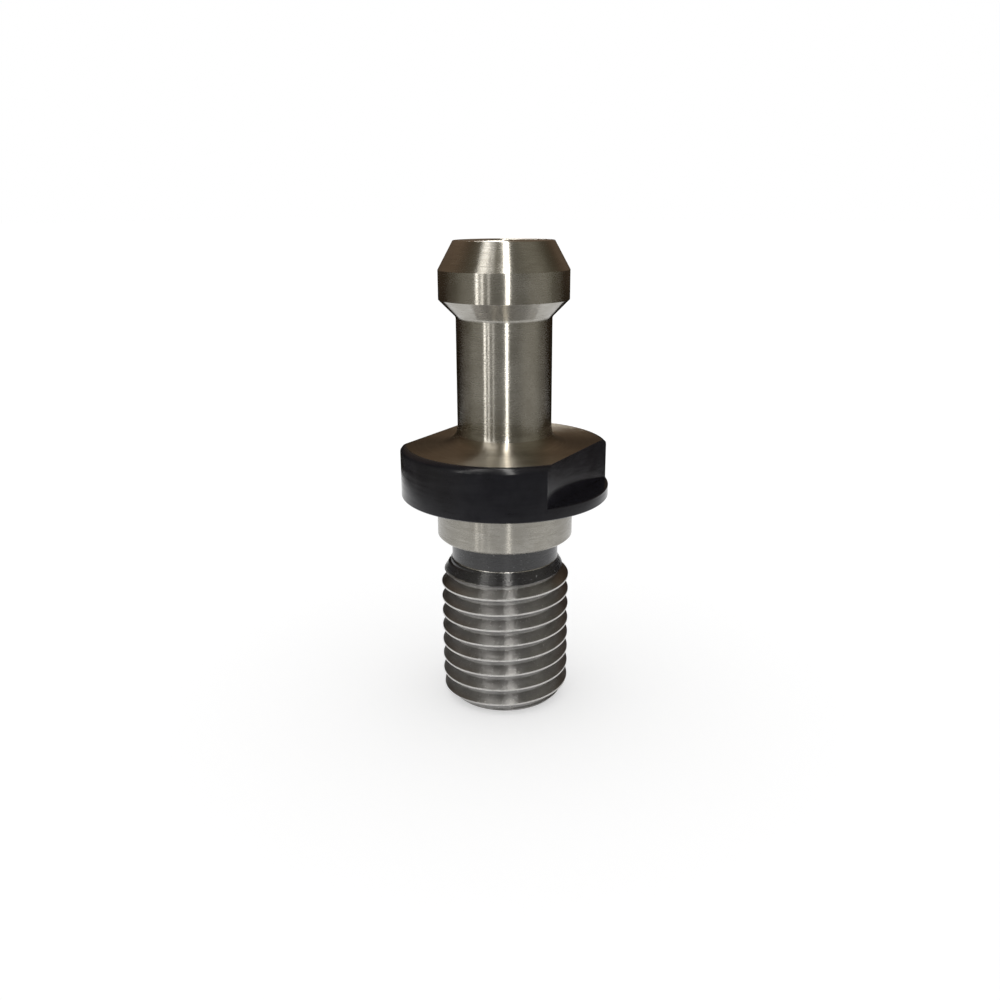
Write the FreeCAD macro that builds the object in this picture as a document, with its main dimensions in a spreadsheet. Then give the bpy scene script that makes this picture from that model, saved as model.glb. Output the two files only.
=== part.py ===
import FreeCAD
import Part

import os
import re

import Sketcher

# A solid pull stud for a size 50 taper shank. It screws into the small end of the tool holder,
# and the drawbar's gripper closes round its neck and pulls on the cone under its head.
# Z is the stud's own axis, with the head up, and Z = 0 is the seat: the face of the flange
# that is drawn up against the holder. The wrench flats face +X and -X. Lengths are millimetres.

SIZES = {
    # head
    "head_reach": 45.0,             # from the seat to the head's end face
    "head_diameter": 23.0,
    "head_end_diameter": 17.6,
    "head_taper_length": 4.9,       # the lead-in taper at the end, along the axis
    "head_land_length": 5.0,        # the cylindrical land below it
    "grip_cone_angle": 45.0,        # between the gripped cone and the axis
    "grip_root_radius": 0.8,        # where the gripped cone runs into the neck
    # neck and flange
    "neck_diameter": 17.0,
    "neck_fillet_radius": 3.0,
    "flange_diameter": 38.0,
    "flange_thickness": 9.5,
    "flange_chamfer": 0.75,
    "flats_across": 30.0,
    "ledge_thickness": 2.1,         # the full round left below the flats
    "edge_break": 0.2,              # on the seat's and the ledges' outer edges
    # pilot and relief
    "pilot_diameter": 25.0,
    "pilot_length": 8.0,
    "pilot_chamfer": 0.4,
    "relief_diameter": 19.8,
    "relief_length": 4.2,
    # screw
    "shank_length": 40.0,           # from the seat to the screw's end face
    "screw_diameter": 24.0,
    "screw_pitch": 3.0,
    "thread_depth": 1.84,           # from crest to root
    "crest_width": 0.375,
    "flank_angle": 60.0,            # between the two flanks of a groove
    "shoulder_angle": 30.0,         # between the shoulder where the screw starts and the axis
    "end_chamfer": 2.0,
    "groove_start": 1.73,           # how far past the end face the groove's helix starts
    "groove_overhang": 0.15,        # how far the groove's section stands out past the crests
    # the centre hole in each end, which the stud was turned and ground on
    "centre_mouth_diameter": 5.3,
    "centre_angle": 60.0,
    "centre_drill_diameter": 2.5,
    "centre_drill_depth": 5.0,
    "drill_point_angle": 118.0,
}


def formula(text):
    """point each size that a formula names at its cell in the sheet"""
    return re.sub(r"[a-z]+(?:_[a-z]+)+", r"Sizes.\g<0>", text)


def size_sheet(document):
    sheet = document.addObject("Spreadsheet::Sheet", "Sizes")
    for row, (name, value) in enumerate(SIZES.items(), start=1):
        sheet.set(f"A{row}", name)
        sheet.set(f"B{row}", str(value))
        sheet.setAlias(f"B{row}", name)
    document.recompute()
    return sheet


def origin_feature(body, role):
    return next(feature for feature in body.Origin.OriginFeatures if feature.Role == role)


def outline(body, name, plane, corners):
    """a closed sketch of straight lines; each corner is two formulas, across and up"""
    sketch = body.newObject("Sketcher::SketchObject", name)
    sketch.AttachmentSupport = (origin_feature(body, plane), "")
    sketch.MapMode = "FlatFace"
    places = [FreeCAD.Vector(index + 1, index * index, 0) for index in range(len(corners))]
    for start, end in zip(places, places[1:] + places[:1]):
        sketch.addGeometry(Part.LineSegment(start, end))
    for index in range(len(corners)):
        following = (index + 1) % len(corners)
        sketch.addConstraint(Sketcher.Constraint("Coincident", index, 2, following, 1))
    for index, (across, up) in enumerate(corners):
        for kind, axis, text in (("DistanceX", -2, across), ("DistanceY", -1, up)):
            if text == "0":
                sketch.addConstraint(Sketcher.Constraint("PointOnObject", index, 1, axis))
            else:
                number = sketch.addConstraint(Sketcher.Constraint(kind, -1, 1, index, 1, 1.0 + index))
                sketch.setExpression(f"Constraints[{number}]", formula(text))
    return sketch


def bind(feature, **formulas):
    for field, text in formulas.items():
        feature.setExpression(field, formula(text))


def ring_edges(feature, radius, height):
    """the edges of a feature that run round the Z axis at this radius and height"""
    names = []
    for number, edge in enumerate(feature.Shape.Edges, start=1):
        curve = edge.Curve
        if not isinstance(curve, Part.Circle):
            continue
        level = abs(curve.Center.z - height) < 1e-4
        centred = abs(curve.Center.x) + abs(curve.Center.y) < 1e-4
        if level and centred and abs(curve.Radius - radius) < 1e-4:
            names.append(f"Edge{number}")
    return names


def dress(body, kind, name, feature, edges, size):
    """a Fillet or Chamfer over some edges of a feature, of the size that the sheet names"""
    dressed = body.newObject(f"PartDesign::{kind}", name)
    dressed.Base = (feature, edges)
    bind(dressed, **{"Radius" if kind == "Fillet" else "Size": size})
    body.Document.recompute()
    return dressed


def turned_blank(body, sheet):
    """all that is turned on the lathe, with its fillets and chamfers"""
    relief_end = "(pilot_length + relief_length)"
    shoulder_rise = "(screw_diameter - relief_diameter) / 2 / tan(shoulder_angle)"
    land_end = "head_reach - head_taper_length - head_land_length"
    grip_root = f"{land_end} - (head_diameter - neck_diameter) / 2 / tan(grip_cone_angle)"
    profile = outline(body, "TurnedProfile", "XZ_Plane", [
        ("0", "-shank_length"),
        ("screw_diameter / 2 - end_chamfer", "-shank_length"),
        ("screw_diameter / 2", "end_chamfer - shank_length"),
        ("screw_diameter / 2", f"-{relief_end} - {shoulder_rise}"),
        ("relief_diameter / 2", f"-{relief_end}"),
        ("relief_diameter / 2", "-pilot_length"),
        ("pilot_diameter / 2", "-pilot_length"),
        ("pilot_diameter / 2", "0"),
        ("flange_diameter / 2", "0"),
        ("flange_diameter / 2", "flange_thickness"),
        ("neck_diameter / 2", "flange_thickness"),
        ("neck_diameter / 2", grip_root),
        ("head_diameter / 2", land_end),
        ("head_diameter / 2", "head_reach - head_taper_length"),
        ("head_end_diameter / 2", "head_reach"),
        ("0", "head_reach"),
    ])
    blank = body.newObject("PartDesign::Revolution", "TurnedBlank")
    blank.Profile = profile
    blank.ReferenceAxis = (profile, ["V_Axis"])
    blank.Angle = 360
    body.Document.recompute()

    neck = sheet.neck_diameter / 2
    flange = sheet.flange_diameter / 2
    grip_root_height = profile.Geometry[11].StartPoint.y
    blank = dress(body, "Fillet", "NeckFillet", blank,
                  ring_edges(blank, neck, sheet.flange_thickness), "neck_fillet_radius")
    blank = dress(body, "Fillet", "GripRoot", blank,
                  ring_edges(blank, neck, grip_root_height), "grip_root_radius")
    blank = dress(body, "Chamfer", "PilotChamfer", blank,
                  ring_edges(blank, sheet.pilot_diameter / 2, -sheet.pilot_length), "pilot_chamfer")
    blank = dress(body, "Chamfer", "FlangeChamfer", blank,
                  ring_edges(blank, flange, sheet.flange_thickness), "flange_chamfer")
    return dress(body, "Chamfer", "SeatEdge", blank, ring_edges(blank, flange, 0), "edge_break")


def wrench_flats(body, sheet, blank):
    """two flats milled down from the flange's top face, each stopping at a ledge"""
    beyond = "flange_diameter"
    cut = outline(body, "FlatProfile", "XY_Plane", [
        ("flats_across / 2", f"-{beyond}"),
        (beyond, f"-{beyond}"),
        (beyond, beyond),
        ("flats_across / 2", beyond),
    ])
    bind(cut, **{".AttachmentOffset.Base.z": "ledge_thickness"})
    flat = body.newObject("PartDesign::Pocket", "Flat")
    flat.Profile = cut
    flat.Reversed = True
    bind(flat, Length="flange_thickness")
    body.Document.recompute()

    pair = body.newObject("PartDesign::PolarPattern", "Flats")
    pair.Originals = [flat]
    pair.Axis = (cut, ["N_Axis"])
    pair.Angle = 360
    pair.Occurrences = 2
    body.Tip = pair
    body.Document.recompute()
    if not pair.Shape.Volume < flat.Shape.Volume < blank.Shape.Volume:
        raise RuntimeError("a wrench flat cut nothing")
    return dress(body, "Chamfer", "LedgeEdge", pair,
                 ring_edges(pair, sheet.flange_diameter / 2, sheet.ledge_thickness), "edge_break")


def centre_hole(body, name, end, inward):
    """a drilled and countersunk centre in an end face; inward is the sign that leads into the stud"""
    mouth = "centre_mouth_diameter / 2"
    drill = "centre_drill_diameter / 2"
    cone_foot = "(centre_mouth_diameter - centre_drill_diameter) / 2 / tan(centre_angle / 2)"
    drill_tip = "centre_drill_depth + centre_drill_diameter / 2 / tan(drill_point_angle / 2)"
    profile = outline(body, f"{name}Profile", "XZ_Plane", [
        ("0", end),
        (mouth, end),
        (drill, f"{end} {inward} {cone_foot}"),
        (drill, f"{end} {inward} centre_drill_depth"),
        ("0", f"{end} {inward} ({drill_tip})"),
    ])
    hole = body.newObject("PartDesign::Groove", name)
    hole.Profile = profile
    hole.ReferenceAxis = (profile, ["V_Axis"])
    hole.Angle = 360
    body.Document.recompute()
    return hole


def screw_thread(body):
    """one right-hand groove cut in a helix, from past the end face up into the relief"""
    start = "(-shank_length - groove_start)"
    root_half = "((screw_pitch - crest_width) / 2 - thread_depth * tan(flank_angle / 2))"
    mouth_half = "((screw_pitch - crest_width) / 2 + groove_overhang * tan(flank_angle / 2))"
    root = "screw_diameter / 2 - thread_depth"
    mouth = "screw_diameter / 2 + groove_overhang"
    profile = outline(body, "GrooveProfile", "XZ_Plane", [
        (root, f"{start} - {root_half}"),
        (mouth, f"{start} - {mouth_half}"),
        (mouth, f"{start} + {mouth_half}"),
        (root, f"{start} + {root_half}"),
    ])
    thread = body.newObject("PartDesign::SubtractiveHelix", "ScrewThread")
    thread.Profile = profile
    thread.ReferenceAxis = (profile, ["V_Axis"])
    thread.Mode = "pitch-height-angle"
    bind(thread, Pitch="screw_pitch",
         Height="shank_length + groove_start - pilot_length - relief_length / 2")
    body.Document.recompute()
    return thread


def pull_stud(document, sheet):
    body = document.addObject("PartDesign::Body", "PullStud")
    body.Label = "pull_stud"
    blank = turned_blank(body, sheet)
    wrench_flats(body, sheet, blank)
    centre_hole(body, "HeadCentre", "head_reach", "-")
    centre_hole(body, "ScrewCentre", "-shank_length", "+")
    screw_thread(body)
    return body


def check(document, bodies):
    for item in document.Objects:
        if "Invalid" in item.State or "Error" in item.State:
            raise RuntimeError(f"{item.Name} failed")
    for body in bodies:
        if body.Shape.isNull() or not body.Shape.isValid():
            raise RuntimeError(f"{body.Label} has no sound shape")


document = FreeCAD.newDocument("PullStud")
sizes = size_sheet(document)
bodies = [pull_stud(document, sizes)]
document.recompute()
check(document, bodies)

os.makedirs("parts", exist_ok=True)
for body in bodies:
    body.Shape.exportStep(f"parts/{body.Label}.step")
    print(body.Label, "solids", len(body.Shape.Solids), "volume", round(body.Shape.Volume, 1))
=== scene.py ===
import math

import bmesh
import bpy
from mathutils import Matrix, Vector


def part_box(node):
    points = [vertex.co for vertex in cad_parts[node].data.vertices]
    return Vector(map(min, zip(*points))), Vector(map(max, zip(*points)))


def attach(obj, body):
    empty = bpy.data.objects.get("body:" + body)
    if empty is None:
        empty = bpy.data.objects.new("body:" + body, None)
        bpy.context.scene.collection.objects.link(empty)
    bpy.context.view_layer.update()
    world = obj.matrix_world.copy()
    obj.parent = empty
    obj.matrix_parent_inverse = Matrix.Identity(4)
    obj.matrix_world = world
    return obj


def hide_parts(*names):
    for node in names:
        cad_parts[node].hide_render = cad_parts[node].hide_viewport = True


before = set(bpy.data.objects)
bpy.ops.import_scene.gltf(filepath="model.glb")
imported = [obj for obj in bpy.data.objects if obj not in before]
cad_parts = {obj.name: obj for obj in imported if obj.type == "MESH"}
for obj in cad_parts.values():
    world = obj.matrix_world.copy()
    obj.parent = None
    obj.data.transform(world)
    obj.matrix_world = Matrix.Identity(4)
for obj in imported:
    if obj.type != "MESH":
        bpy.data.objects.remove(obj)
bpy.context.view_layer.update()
low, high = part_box("pull_stud")
mm = 0.001  # the stud is modelled in millimetres and scaled once at the end
near = 1e-3  # how close, in millimetres, counts as the same place

# heights are from the seat, where the stud's frame has its origin
stud = {
    "headEnd": high.z / mm,
    "headEndRadius": 8.8,
    "headRadius": 11.5,
    "taperLength": 4.9,
    "landLength": 5.0,
    "gripRootRadius": 0.8,
    "neckRadius": 8.5,
    "neckFillet": 3.0,
    "flangeRadius": min(high.x, high.y, -low.x, -low.y) / mm,
    "flangeTop": 9.5,
    "flangeChamfer": 0.75,
    "flangeRounding": 0.8,  # the chamfer's two edges are well rubbed down
    "ledgeTop": 2.1,
    "flatReach": 15.0,  # from the axis to each wrench flat
    "pilotRadius": 12.5,
    "pilotLength": 8.0,
    "pilotChamfer": 0.4,
    "reliefRadius": 9.9,
    "reliefEnd": -12.2,
    "reliefCorner": 0.7,
    "edgeBreak": 0.2,
    "softEdge": 0.07,  # what polishing leaves on the turned edges
    "flatEdge": 0.14,  # and the file on the milled ones
    "steps": 144,
    "crispAngle": 32,
}
screw = {
    "end": low.z / mm,
    "radius": 12.0,
    "pitch": 3.0,
    "depth": 1.84,
    "crest": 0.375,
    "flankSlope": math.tan(math.radians(30)),
    "shoulderSlope": math.tan(math.radians(30)),
    "endChamfer": 2.0,
    "crestAtPlusX": -1.23,  # a height at which a crest's turn crosses the +X side
    "cornerRound": 0.1,
    "flankCuts": 8,
    "highlightRingWidth": 0.12,  # the width of the painted highlight line at the foot of the relief
    "crestHighlightDepth": 0.004,  # how far in from the crest the painted highlight reaches
    "join": -11.0,  # where the screw's mesh meets the rest, inside the relief
    "joinGap": 0.4,
    "oxideShare": 0.62,  # how much of the shoulder the black finish covers
    "endRing": 9.7,
}
centre = {
    "mouthRadius": 2.65,
    "drillRadius": 1.25,
    "drillDepth": 5.0,
    "slope": math.tan(math.radians(30)),
    "pointSlope": math.tan(math.radians(59)),
}
finishes = ["groundSteel", "turnedSteel", "blackOxide", "reliefSteel", "threadSteel", "crestHighlightSteel"]


def wire(bm, corners):
    # corners are (radius, height, rounding radius), joined in order
    line = [bm.verts.new((radius, 0, height)) for radius, height, rounding in corners]
    for start, end in zip(line, line[1:]):
        bm.edges.new((start, end))
    cuts = []
    for index, (radius, height, rounding) in enumerate(corners):
        if rounding:
            arriving = line[index].co - line[index - 1].co
            leaving = line[index + 1].co - line[index].co
            cuts.append((line[index], rounding * math.tan(arriving.angle(leaving) / 2)))
    for corner, cut in cuts:
        bmesh.ops.bevel(bm, geom=[corner], offset=cut, offset_type="OFFSET", affect="VERTICES",
                        segments=4, profile=0.5, material=-1)


def spinRound(bm):
    bmesh.ops.spin(bm, geom=bm.verts[:] + bm.edges[:], cent=(0, 0, 0), axis=(0, 0, 1), dvec=(0, 0, 0),
                   angle=math.tau, steps=stud["steps"], use_merge=True, use_duplicate=False)
    bmesh.ops.remove_doubles(bm, verts=bm.verts, dist=near)


def centreHole(end, inward):
    # the corners of a centre hole from its mouth to its tip; inward is +1 or -1
    coneDepth = (centre["mouthRadius"] - centre["drillRadius"]) / centre["slope"]
    tipDepth = centre["drillDepth"] + centre["drillRadius"] / centre["pointSlope"]
    return [
        (centre["mouthRadius"], end, stud["softEdge"]),
        (centre["drillRadius"], end + inward * coneDepth, 0),
        (centre["drillRadius"], end + inward * centre["drillDepth"], 0),
        (0, end + inward * tipDepth, 0),
    ]


def turnedPart():
    # everything above the screw, as one lathe profile
    s = stud
    soft = s["softEdge"]
    landTop = s["headEnd"] - s["taperLength"]
    landLow = landTop - s["landLength"]
    gripRoot = landLow - (s["headRadius"] - s["neckRadius"])
    bm = bmesh.new()
    wire(bm, [
        (s["reliefRadius"], screw["join"] + screw["joinGap"], 0),
        (s["reliefRadius"], -s["pilotLength"], s["reliefCorner"]),
        (s["pilotRadius"] - s["pilotChamfer"], -s["pilotLength"], soft),
        (s["pilotRadius"], s["pilotChamfer"] - s["pilotLength"], soft),
        (s["pilotRadius"], 0, 0),
        (s["flangeRadius"] - s["edgeBreak"], 0, soft),
        (s["flangeRadius"], s["edgeBreak"], soft),
        (s["flangeRadius"], s["ledgeTop"], 0),
        (s["flangeRadius"], s["flangeTop"] - s["flangeChamfer"], s["flangeRounding"]),
        (s["flangeRadius"] - s["flangeChamfer"], s["flangeTop"], s["flangeRounding"]),
        (s["neckRadius"], s["flangeTop"], s["neckFillet"]),
        (s["neckRadius"], gripRoot, s["gripRootRadius"]),
        (s["headRadius"], landLow, soft),
        (s["headRadius"], landTop, soft),
        (s["headEndRadius"], s["headEnd"], 2 * soft),
        *centreHole(s["headEnd"], -1),
    ])
    spinRound(bm)
    return bm


def cutFlat(bm, side):
    # mills one wrench flat down to its ledge; side is +1 or -1 along X
    s = stud
    reach, soft = s["flatReach"], s["flatEdge"]

    def inBand(face):
        heights = [vert.co.z for vert in face.verts]
        filletEdge = s["neckRadius"] + s["neckFillet"] - near
        outside = all(vert.co.xy.length > filletEdge for vert in face.verts)
        return outside and min(heights) > s["ledgeTop"] - near and max(heights) < s["flangeTop"] + near

    def shave(point, normal):
        # takes off what stands past a plane, above the ledge, and closes the cut
        band = [face for face in bm.faces if inBand(face)]
        parts = {part for face in band for part in (face, *face.edges, *face.verts)}
        bmesh.ops.bisect_plane(bm, geom=list(parts), dist=near / 10, plane_co=point, plane_no=normal)
        waste = [face for face in bm.faces if inBand(face)
                 and (face.calc_center_median() - point).dot(normal) > near / 10]
        bmesh.ops.delete(bm, geom=waste, context="FACES")
        rim = [edge for edge in bm.edges
               if edge.is_boundary and edge.verts[0].co.z > 0 < edge.verts[1].co.z]
        onCut = [edge for edge in rim
                 if all(abs((vert.co - point).dot(normal)) < near for vert in edge.verts)]
        onLedge = [edge for edge in rim
                   if all(abs(vert.co.z - s["ledgeTop"]) < near for vert in edge.verts)]
        cutVerts = {vert for edge in onCut for vert in edge.verts}
        ends = cutVerts & {vert for edge in onLedge for vert in edge.verts}
        root = bmesh.ops.contextual_create(bm, geom=list(ends))["edges"] if len(ends) == 2 else []
        bmesh.ops.contextual_create(bm, geom=onCut + root)
        if onLedge:
            bmesh.ops.contextual_create(bm, geom=onLedge + root)
        return [edge for edge in onLedge if not ends & set(edge.verts)]

    ledgeRim = shave(Vector((side * reach, 0, s["ledgeTop"])), Vector((side, 0, 0)))
    shave(Vector((side * (reach - soft), 0, s["flangeTop"])), Vector((side, 0, 1)).normalized())
    return ledgeRim


def turnedRadius(height):
    # the screw's blank, before its thread is cut
    chamfered = screw["radius"] - screw["endChamfer"] + height - screw["end"]
    shouldered = stud["reliefRadius"] + (stud["reliefEnd"] - height) * screw["shoulderSlope"]
    return max(stud["reliefRadius"], min(screw["radius"], chamfered, shouldered))


def screwPart():
    # one pitch of the section, turned up its helix and then held inside the turned blank
    c = screw
    root = c["radius"] - c["depth"]
    flankRise = c["depth"] * c["flankSlope"]
    rootHalf = (c["pitch"] - c["crest"]) / 2 - flankRise
    below = math.ceil((c["crestAtPlusX"] - c["end"]) / c["pitch"]) + 1
    start = c["crestAtPlusX"] - (below + 0.5) * c["pitch"]
    turns = math.ceil((c["join"] - start) / c["pitch"]) + 1
    bm = bmesh.new()
    wire(bm, [
        (root, start, 0),
        (root, start + rootHalf, c["cornerRound"]),
        (c["radius"], start + rootHalf + flankRise, c["cornerRound"]),
        (c["radius"], start + c["pitch"] - rootHalf - flankRise, c["cornerRound"]),
        (root, start + c["pitch"] - rootHalf, c["cornerRound"]),
        (root, start + c["pitch"], 0),
    ])
    flanks = [edge for edge in bm.edges if edge.calc_length() > c["depth"]]
    bmesh.ops.subdivide_edges(bm, edges=flanks, cuts=c["flankCuts"])
    bmesh.ops.spin(bm, geom=bm.verts[:] + bm.edges[:], cent=(0, 0, 0), axis=(0, 0, 1),
                   dvec=(0, 0, c["pitch"] / stud["steps"]), angle=math.tau,
                   steps=stud["steps"], use_merge=False, use_duplicate=False)
    turn = bm.verts[:] + bm.edges[:] + bm.faces[:]
    for step in range(1, turns):
        copied = bmesh.ops.duplicate(bm, geom=turn)["geom"]
        lifted = [part for part in copied if isinstance(part, bmesh.types.BMVert)]
        bmesh.ops.translate(bm, vec=(0, 0, step * c["pitch"]), verts=lifted)
    bmesh.ops.remove_doubles(bm, verts=bm.verts, dist=near)
    shoulderEnd = stud["reliefEnd"] - (c["radius"] - stud["reliefRadius"]) / c["shoulderSlope"]
    for height in (stud["reliefEnd"], stud["reliefEnd"] - c["highlightRingWidth"], shoulderEnd,
                   c["end"] + c["endChamfer"]):
        bmesh.ops.bisect_plane(bm, geom=bm.verts[:] + bm.edges[:] + bm.faces[:], dist=near / 10,
                               plane_co=(0, 0, height), plane_no=(0, 0, 1))
    for vert in bm.verts:
        radius = vert.co.xy.length
        vert.co.xy *= min(1, turnedRadius(vert.co.z) / radius)
    for height, side in ((c["join"], 1), (c["end"], -1)):
        bmesh.ops.bisect_plane(bm, geom=bm.verts[:] + bm.edges[:] + bm.faces[:], dist=near / 10,
                               plane_co=(0, 0, height), plane_no=(0, 0, side), clear_outer=True)
    return bm


def screwEnd():
    bm = bmesh.new()
    wire(bm, [(screw["endRing"], screw["end"], 0), *centreHole(screw["end"], 1)])
    spinRound(bm)
    return bm


def absorb(bm, other):
    passing = bpy.data.meshes.new("passing")
    other.to_mesh(passing)
    other.free()
    bm.from_mesh(passing)
    bpy.data.meshes.remove(passing)


def bridgeAt(bm, lowest, highest):
    loops = [edge for edge in bm.edges if edge.is_boundary
             and all(lowest - near < vert.co.z < highest + near for vert in edge.verts)]
    bmesh.ops.bridge_loops(bm, edges=loops)


def finishOf(face):
    # which finish a face wears, from where it is on the stud; the crests and a ring at the relief's foot get
    # a lighter steel that is a painted highlight
    s = stud
    spot = face.calc_center_median()
    if spot.z < -s["pilotLength"] - near:
        # a thin ring at the foot of the relief, painted light as a highlight
        highlightRing = s["reliefEnd"] - screw["highlightRingWidth"] < spot.z < s["reliefEnd"]
        radius = sum(vert.co.xy.length for vert in face.verts) / len(face.verts)
        if highlightRing or radius > screw["radius"] - screw["crestHighlightDepth"]:
            return "crestHighlightSteel"
        shoulder = (screw["radius"] - s["reliefRadius"]) / screw["shoulderSlope"]
        oxideEnd = s["reliefEnd"] - shoulder * screw["oxideShare"]
        return "reliefSteel" if spot.z > oxideEnd else "threadSteel"
    if spot.z < near or spot.z > s["flangeTop"] + s["neckFillet"] / 2:
        return "groundSteel"
    return "blackOxide" if spot.z < s["flangeTop"] - near else "turnedSteel"


def buildStud():
    bm = turnedPart()
    ledgeEdges = cutFlat(bm, 1) + cutFlat(bm, -1)
    bmesh.ops.bevel(bm, geom=ledgeEdges, offset=stud["flatEdge"], offset_type="OFFSET", affect="EDGES",
                    segments=3, profile=0.5, material=-1)
    absorb(bm, screwPart())
    absorb(bm, screwEnd())
    bridgeAt(bm, screw["join"], screw["join"] + screw["joinGap"])
    bridgeAt(bm, screw["end"], screw["end"])
    bmesh.ops.recalc_face_normals(bm, faces=bm.faces)
    for face in bm.faces:
        face.smooth = True
        face.material_index = finishes.index(finishOf(face))
    for edge in bm.edges:
        edge.smooth = edge.calc_face_angle(0) < math.radians(stud["crispAngle"])
    bmesh.ops.scale(bm, vec=(mm, mm, mm), verts=bm.verts)
    print("stud:", len(bm.faces), "faces,", sum(not edge.is_manifold for edge in bm.edges), "open edges")
    mesh = bpy.data.meshes.new("studBody")
    bm.to_mesh(mesh)
    bm.free()
    body = bpy.data.objects.new("studBody", mesh)
    bpy.context.scene.collection.objects.link(body)
    crisp = body.modifiers.new("weightedNormals", "WEIGHTED_NORMAL")
    crisp.keep_sharp = True
    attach(body, "root")
    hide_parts("pull_stud")
    return body


body = buildStud()


view = {
    "distance": 0.1672,
    "height": 0.0503,
    "azimuth": 30.2,
    "pitchDown": 17.264,
    "turnLeft": 0.3,
    "roll": -0.291,
    "lens": 33.885,
}


def makeCamera():
    azimuth = math.radians(view["azimuth"])
    camera = bpy.data.objects.new("camera", bpy.data.cameras.new("camera"))
    camera.data.lens = view["lens"]
    camera.data.sensor_width = 36
    camera.data.clip_start = 0.01
    place = Vector((math.sin(azimuth), -math.cos(azimuth), 0)) * view["distance"]
    place.z = view["height"]
    heading = Matrix.Rotation(azimuth + math.radians(view["turnLeft"]), 4, "Z")
    tilt = Matrix.Rotation(math.radians(90 - view["pitchDown"]), 4, "X")
    roll = Matrix.Rotation(math.radians(view["roll"]), 4, "Z")
    camera.matrix_world = Matrix.Translation(place) @ heading @ tilt @ roll
    bpy.context.scene.collection.objects.link(camera)
    bpy.context.scene.camera = camera


makeCamera()
print("camera:", view["lens"], "mm lens,", view["height"], "m above the seat")


def addNode(tree, kind, sockets=None, **settings):
    made = tree.nodes.new(kind)
    for name, value in settings.items():
        setattr(made, name, value)
    for name, value in (sockets or {}).items():
        if isinstance(value, bpy.types.NodeSocket):
            tree.links.new(value, made.inputs[name])
        else:
            made.inputs[name].default_value = value
    return made


def mathNode(tree, operation, first, second=0.0):
    return addNode(tree, "ShaderNodeMath", {0: first, 1: second}, operation=operation).outputs[0]


def blendColors(tree, factor, first, second):
    mixed = addNode(tree, "ShaderNodeMix", {"Factor": factor}, data_type="RGBA")
    for socket, color in ((mixed.inputs[6], first), (mixed.inputs[7], second)):
        if isinstance(color, bpy.types.NodeSocket):
            tree.links.new(color, socket)
        else:
            socket.default_value = (*color, 1)
    return mixed.outputs[2]


def stretched(tree, value, fromLow, fromHigh, toLow, toHigh):
    return addNode(tree, "ShaderNodeMapRange", {
        "Value": value, "From Min": fromLow, "From Max": fromHigh, "To Min": toLow, "To Max": toHigh,
    }).outputs["Result"]


def noise(tree, place, scale, detail, roughness=0.5):
    return addNode(tree, "ShaderNodeTexNoise", {
        "Vector": place, "Scale": scale, "Detail": detail, "Roughness": roughness,
    }).outputs["Fac"]


def steelMaterial(name, look):
    # a turned or ground surface: rings left by the tool, soft patches, grain and a few pits
    material = bpy.data.materials.new(name)
    material.use_nodes = True
    tree = material.node_tree
    shader = tree.nodes["Principled BSDF"]
    spot = addNode(tree, "ShaderNodeTexCoord").outputs["Object"]
    inMillimetres = addNode(tree, "ShaderNodeVectorMath", {0: spot, "Scale": 1 / mm},
                            operation="SCALE").outputs[0]
    axes = addNode(tree, "ShaderNodeSeparateXYZ", {0: inMillimetres})
    across = addNode(tree, "ShaderNodeCombineXYZ", {0: axes.outputs[0], 1: axes.outputs[1]}).outputs[0]
    radius = addNode(tree, "ShaderNodeVectorMath", {0: across}, operation="LENGTH").outputs["Value"]
    sideways = mathNode(tree, "ADD", axes.outputs[0], axes.outputs[1])
    around = mathNode(tree, "MULTIPLY", sideways, look["markLength"])
    section = addNode(tree, "ShaderNodeCombineXYZ", {0: radius, 1: axes.outputs[2], 2: around}).outputs[0]

    marks = noise(tree, section, look["markScale"], 3, 0.6)
    patches = noise(tree, inMillimetres, look["patchScale"], 3, 0.55)
    grain = noise(tree, inMillimetres, look["grainScale"], 2, 0.6)
    toned = blendColors(tree, stretched(tree, patches, 0.35, 0.65, 0, 1), look["darkTone"], look["lightTone"])
    marked = stretched(tree, marks, 0.3, 0.7, 0, look["markTone"])
    color = blendColors(tree, marked, toned, look["markColor"])
    pits = stretched(tree, grain, look["pitLimit"], look["pitLimit"] + 0.06, 0, 1)
    color = blendColors(tree, pits, color, look["pitColor"])
    tree.links.new(color, shader.inputs["Base Color"])

    smoothest, roughest = look["roughness"]
    worn = mathNode(tree, "ADD", marks, mathNode(tree, "MULTIPLY", patches, 0.6))
    rough = stretched(tree, worn, 0.5, 1.1, smoothest, roughest)
    tree.links.new(rough, shader.inputs["Roughness"])
    relief = mathNode(tree, "ADD", mathNode(tree, "MULTIPLY", marks, look["markDepth"]),
                   mathNode(tree, "MULTIPLY", grain, look["grainDepth"]))
    bump = addNode(tree, "ShaderNodeBump", {"Height": relief, "Distance": mm * look["bump"], "Strength": 1.0})
    tree.links.new(bump.outputs[0], shader.inputs["Normal"])

    shader.inputs["Metallic"].default_value = look["metallic"]
    shader.inputs["Specular IOR Level"].default_value = look["specular"]
    if look["stretch"]:
        shader.inputs["Anisotropic"].default_value = look["stretch"]
        shader.inputs["Anisotropic Rotation"].default_value = look["stretchTurn"]
        ringTangent = addNode(tree, "ShaderNodeTangent", direction_type="RADIAL", axis="Z")
        tree.links.new(ringTangent.outputs[0], shader.inputs["Tangent"])
    return material


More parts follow.
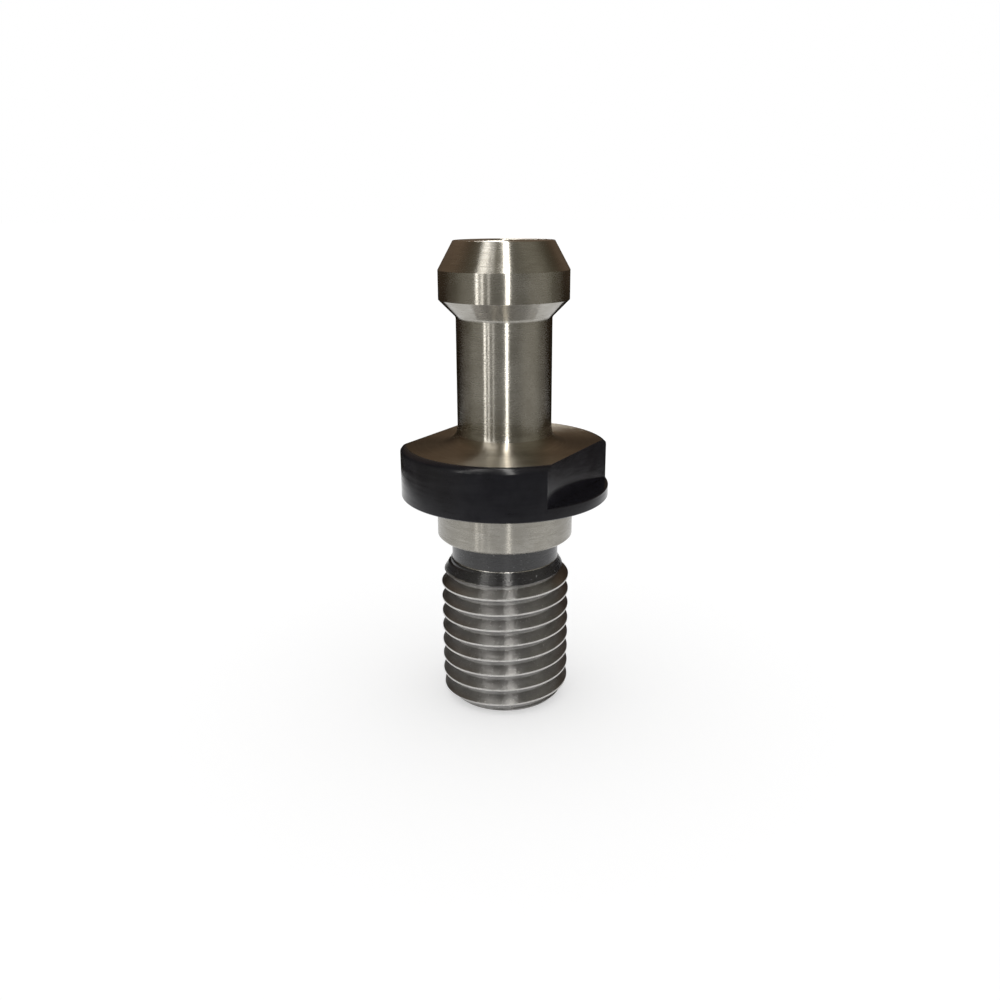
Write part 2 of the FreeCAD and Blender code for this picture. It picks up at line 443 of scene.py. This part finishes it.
looks = {
    "groundSteel": {
        "darkTone": (0.40, 0.385, 0.35), "lightTone": (0.50, 0.485, 0.45), "markTone": 0.5,
        "markColor": (0.36, 0.34, 0.30), "pitColor": (0.2, 0.19, 0.17), "pitLimit": 0.74,
        "markScale": 3.0, "markLength": 0.12, "patchScale": 0.22, "grainScale": 7,
        "roughness": (0.22, 0.3), "markDepth": 0.5, "grainDepth": 0.1, "bump": 0.003,
        "metallic": 1, "specular": 0.5, "stretch": 1.0, "stretchTurn": 0.25,
    },
    "turnedSteel": {
        "darkTone": (0.36, 0.33, 0.28), "lightTone": (0.46, 0.43, 0.37), "markTone": 0.4,
        "markColor": (0.30, 0.27, 0.22), "pitColor": (0.15, 0.13, 0.11), "pitLimit": 0.74,
        "markScale": 2.6, "markLength": 0.08, "patchScale": 0.2, "grainScale": 6,
        "roughness": (0.3, 0.4), "markDepth": 0.6, "grainDepth": 0.12, "bump": 0.008,
        "metallic": 1, "specular": 0.5, "stretch": 1.0, "stretchTurn": 0.25,
    },
    "blackOxide": {
        "darkTone": (0.0075, 0.0075, 0.0105), "lightTone": (0.011, 0.011, 0.015), "markTone": 0.3,
        "markColor": (0.013, 0.013, 0.0165), "pitColor": (0.04, 0.04, 0.045), "pitLimit": 0.78,
        "markScale": 1.6, "markLength": 0.1, "patchScale": 0.3, "grainScale": 4,
        "roughness": (0.12, 0.24), "markDepth": 0.2, "grainDepth": 0.2, "bump": 0.004,
        "metallic": 0, "specular": 0.34, "stretch": 0, "stretchTurn": 0,
    },
    "reliefSteel": {
        "darkTone": (0.010, 0.010, 0.012), "lightTone": (0.016, 0.016, 0.019), "markTone": 0.5,
        "markColor": (0.022, 0.022, 0.025), "pitColor": (0.2, 0.2, 0.2), "pitLimit": 0.68,
        "markScale": 2.4, "markLength": 0.1, "patchScale": 0.3, "grainScale": 2.6,
        "roughness": (0.22, 0.34), "markDepth": 0.4, "grainDepth": 0.8, "bump": 0.025,
        "metallic": 0, "specular": 0.8, "stretch": 0.8, "stretchTurn": 0.25,
    },
    "threadSteel": {
        "darkTone": (0.36, 0.355, 0.35), "lightTone": (0.46, 0.455, 0.45), "markTone": 0.5,
        "markColor": (0.30, 0.29, 0.285), "pitColor": (0.6, 0.59, 0.58), "pitLimit": 0.64,
        "markScale": 2.2, "markLength": 0.2, "patchScale": 0.3, "grainScale": 2.6,
        "roughness": (0.3, 0.4), "markDepth": 0.4, "grainDepth": 1.0, "bump": 0.05,
        "metallic": 1, "specular": 0.5, "stretch": 1.0, "stretchTurn": 0.25,
    },
    # a lighter steel that paints the highlight along the crests and along the foot of the relief
    "crestHighlightSteel": {
        "darkTone": (0.50, 0.49, 0.47), "lightTone": (0.62, 0.61, 0.59), "markTone": 0.4,
        "markColor": (0.42, 0.41, 0.39), "pitColor": (0.3, 0.29, 0.27), "pitLimit": 0.7,
        "markScale": 2.5, "markLength": 0.3, "patchScale": 0.3, "grainScale": 3,
        "roughness": (0.22, 0.34), "markDepth": 0.4, "grainDepth": 0.5, "bump": 0.012,
        "metallic": 1, "specular": 0.5, "stretch": 0.3, "stretchTurn": 0.25,
    },
}
for name in finishes:
    body.data.materials.append(steelMaterial(name, looks[name]))
print("materials:", ", ".join(finishes))


stage = {
    "floorGlow": 0.35,
    "floorColor": (0.8, 0.8, 0.8, 1),
    "floorRoughness": 0.9,
    "floorSize": 6,
    "worldLight": 0.85,
    "roomRadius": 0.15,
    "roomGap": 0.0005,  # between the floor and its lower edge
    "roomShift": 0.02,  # how far its middle is behind the stud
    "roomTones": [  # from right behind the stud round to the camera
        (-1.0, (0.012, 0.009, 0.005)), (-0.6, (0.022, 0.016, 0.010)), (-0.45, (0.050, 0.040, 0.026)),
        (-0.3, (0.095, 0.080, 0.056)), (0.0, (0.150, 0.135, 0.100)), (0.12, (0.230, 0.215, 0.170)),
        (0.3, (0.280, 0.260, 0.210)), (0.66, (0.280, 0.262, 0.215)), (0.82, (0.180, 0.170, 0.142)),
        (1.0, (0.165, 0.157, 0.134)),
    ],
    "roomBackHigh": (0.23, 0.165, 0.115),
    "lampRadius": 0.12,
    "lampSteps": 24,
    "lampColor": (1.0, 0.98, 0.94),
}


def atAzimuth(turn, distance, height):
    # a place seen from the stud at so many degrees to the right of the camera
    azimuth = math.radians(view["azimuth"] + turn)
    return Vector((math.sin(azimuth) * distance, -math.cos(azimuth) * distance, height))


def stagePiece(name, bm, material, seenDirectly):
    mesh = bpy.data.meshes.new(name)
    bm.to_mesh(mesh)
    bm.free()
    mesh.materials.append(material)
    piece = bpy.data.objects.new(name, mesh)
    bpy.context.scene.collection.objects.link(piece)
    piece.visible_camera = seenDirectly
    piece.visible_diffuse = seenDirectly
    piece.visible_shadow = seenDirectly
    return piece


def lightPath(tree):
    # 1 for rays that should meet the white background: seen, mirrored or passed through
    path = addNode(tree, "ShaderNodeLightPath")
    seen = mathNode(tree, "MAXIMUM", path.outputs["Is Camera Ray"], path.outputs["Is Glossy Ray"])
    return mathNode(tree, "MAXIMUM", seen, path.outputs["Is Transmission Ray"])


def floorMaterial():
    material = bpy.data.materials.new("floor")
    material.use_nodes = True
    tree = material.node_tree
    shader = tree.nodes["Principled BSDF"]
    shader.inputs["Base Color"].default_value = stage["floorColor"]
    shader.inputs["Roughness"].default_value = stage["floorRoughness"]
    shader.inputs["Specular IOR Level"].default_value = 0
    shader.inputs["Emission Color"].default_value = (1, 1, 1, 1)
    glow = mathNode(tree, "MULTIPLY", lightPath(tree), stage["floorGlow"])
    tree.links.new(glow, shader.inputs["Emission Strength"])
    return material


def glowMaterial(name, strength=1.0):
    material = bpy.data.materials.new(name)
    material.use_nodes = True
    tree = material.node_tree
    tree.nodes.clear()
    glow = addNode(tree, "ShaderNodeEmission", {"Color": (*stage["lampColor"], 1), "Strength": strength})
    out = addNode(tree, "ShaderNodeOutputMaterial")
    tree.links.new(glow.outputs[0], out.inputs["Surface"])
    return material


def roomMaterial():
    # palest to the sides of the camera, dark and brown behind the stud, and darker high on the left
    material = glowMaterial("room")
    tree = material.node_tree
    spot = addNode(tree, "ShaderNodeTexCoord").outputs["Object"]
    flat = addNode(tree, "ShaderNodeVectorMath", {0: spot, 1: (1, 1, 0)}, operation="MULTIPLY").outputs[0]
    heading = addNode(tree, "ShaderNodeVectorMath", {0: flat}, operation="NORMALIZE").outputs[0]

    def towards(turn):
        return addNode(tree, "ShaderNodeVectorMath", {0: heading, 1: atAzimuth(turn, 1, 0)},
                       operation="DOT_PRODUCT").outputs["Value"]

    height = addNode(tree, "ShaderNodeSeparateXYZ", {0: spot}).outputs[2]
    raised = stretched(tree, height, 0.02, 0.1, 0, 1)
    lean = mathNode(tree, "SUBTRACT", 0.25, mathNode(tree, "MULTIPLY", towards(90), 0.3))
    facing = mathNode(tree, "SUBTRACT", towards(0), mathNode(tree, "MULTIPLY", raised, lean))
    ramp = addNode(tree, "ShaderNodeValToRGB", {"Fac": stretched(tree, facing, -1, 1, 0, 1)})
    stops = ramp.color_ramp.elements
    while len(stops) < len(stage["roomTones"]):
        stops.new(1)
    for stop, (place, tone) in zip(stops, stage["roomTones"]):
        stop.position = (place + 1) / 2
        stop.color = (*tone, 1)
    behind = mathNode(tree, "MULTIPLY", stretched(tree, facing, -0.3, -0.8, 0, 1), raised)
    color = blendColors(tree, behind, ramp.outputs["Color"], stage["roomBackHigh"])
    tree.links.new(color, tree.nodes["Emission"].inputs["Color"])
    return material


bm = bmesh.new()
bmesh.ops.create_grid(bm, x_segments=1, y_segments=1, size=stage["floorSize"])
bmesh.ops.translate(bm, vec=(0, 0, low.z), verts=bm.verts)
stagePiece("floor", bm, floorMaterial(), True)

# the dark room that the steel mirrors; the camera and the soft light don't meet it
bm = bmesh.new()
bmesh.ops.create_uvsphere(bm, u_segments=64, v_segments=32, radius=stage["roomRadius"])
bmesh.ops.translate(bm, vec=atAzimuth(180, stage["roomShift"], 0), verts=bm.verts)
bmesh.ops.bisect_plane(bm, geom=bm.verts[:] + bm.edges[:] + bm.faces[:],
                       plane_co=(0, 0, low.z + stage["roomGap"]), plane_no=(0, 0, -1), clear_outer=True)
stagePiece("room", bm, roomMaterial(), False)

# tall narrow lamps, bent over the stud; angles in degrees
lamps = {
    "streakMain": {"turn": 6, "from": 3, "to": 138, "width": 4.5, "strength": 10},
    "streakLeft": {"turn": -45, "from": -4, "to": 72, "width": 3.5, "strength": 4.5},
    "streakInner": {"turn": -36, "from": -4, "to": 72, "width": 3, "strength": 3},
    "streakFaint": {"turn": -25, "from": -4, "to": 72, "width": 2.5, "strength": 1.6},
}
for name, lamp in lamps.items():
    bm = bmesh.new()
    reach = stage["lampRadius"]
    half = reach * math.radians(lamp["width"]) / 2
    ends = [bm.verts.new((side * half, -reach, 0)) for side in (-1, 1)]
    bm.edges.new(ends)
    bmesh.ops.rotate(bm, matrix=Matrix.Rotation(-math.radians(lamp["from"]), 3, "X"), verts=bm.verts)
    bmesh.ops.spin(bm, geom=bm.verts[:] + bm.edges[:], cent=(0, 0, 0), axis=(1, 0, 0), dvec=(0, 0, 0),
                   angle=-math.radians(lamp["to"] - lamp["from"]), steps=stage["lampSteps"],
                   use_duplicate=False)
    turned = Matrix.Rotation(math.radians(view["azimuth"] + lamp["turn"]), 3, "Z")
    bmesh.ops.rotate(bm, matrix=turned, verts=bm.verts)
    stagePiece(name, bm, glowMaterial(name, lamp["strength"]), False)

print("stage: floor, room,", ", ".join(lamps))

world = bpy.data.worlds.new("world")
bpy.context.scene.world = world
world.use_nodes = True
tree = world.node_tree
background = tree.nodes["Background"]
background.inputs["Color"].default_value = (1, 1, 1, 1)
tree.links.new(stretched(tree, lightPath(tree), 0, 1, stage["worldLight"], 1), background.inputs["Strength"])
bpy.context.scene.view_settings.view_transform = "Standard"
